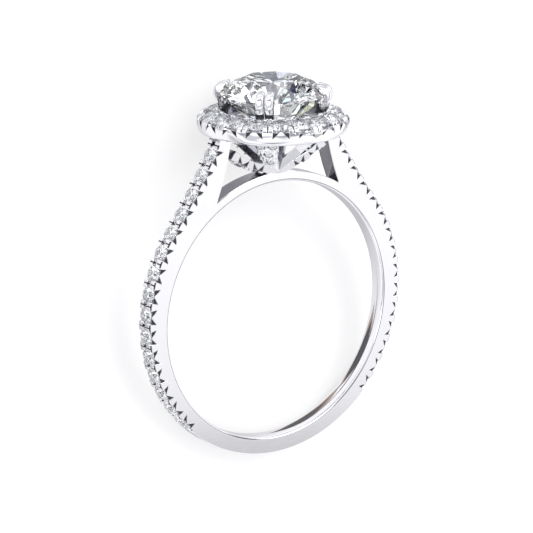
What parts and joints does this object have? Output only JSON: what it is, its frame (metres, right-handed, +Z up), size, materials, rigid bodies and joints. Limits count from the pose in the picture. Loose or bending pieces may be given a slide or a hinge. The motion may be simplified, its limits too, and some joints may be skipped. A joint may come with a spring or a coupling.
{
  "type": "halo ring",
  "caption": "White gold halo ring with a round brilliant in a double-prong basket, a halo of small stones, and stone-set band, bridge and posts.",
  "frame": {"origin": "middle of the ring's outline, on the surface it lies on", "axes": "+X across the band to the right, +Y from the bottom of the band towards the big stone, +Z up from the surface"},
  "size_m": [0.0204, 0.0252, 0.0098],
  "materials": {
    "white_gold": "polished white gold, rhodium bright",
    "stone": "clear faceted stones, brilliant cut"
  },
  "bodies": {
    "root": {"mounting": "white_gold", "center_stone": "stone", "band_stones_left": "stone", "band_stones_right": "stone", "bridge_stones": "stone", "post_stones": "stone", "halo_stone_01": "stone", "halo_stone_02": "stone", "halo_stone_03": "stone", "halo_stone_04": "stone", "halo_stone_05": "stone", "halo_stone_06": "stone", "halo_stone_07": "stone", "halo_stone_08": "stone", "halo_stone_09": "stone", "halo_stone_10": "stone", "halo_stone_11": "stone", "halo_stone_12": "stone", "halo_stone_13": "stone", "halo_stone_14": "stone", "halo_stone_15": "stone", "halo_stone_16": "stone", "halo_stone_17": "stone", "halo_stone_18": "stone"}
  },
  "joints": []
}
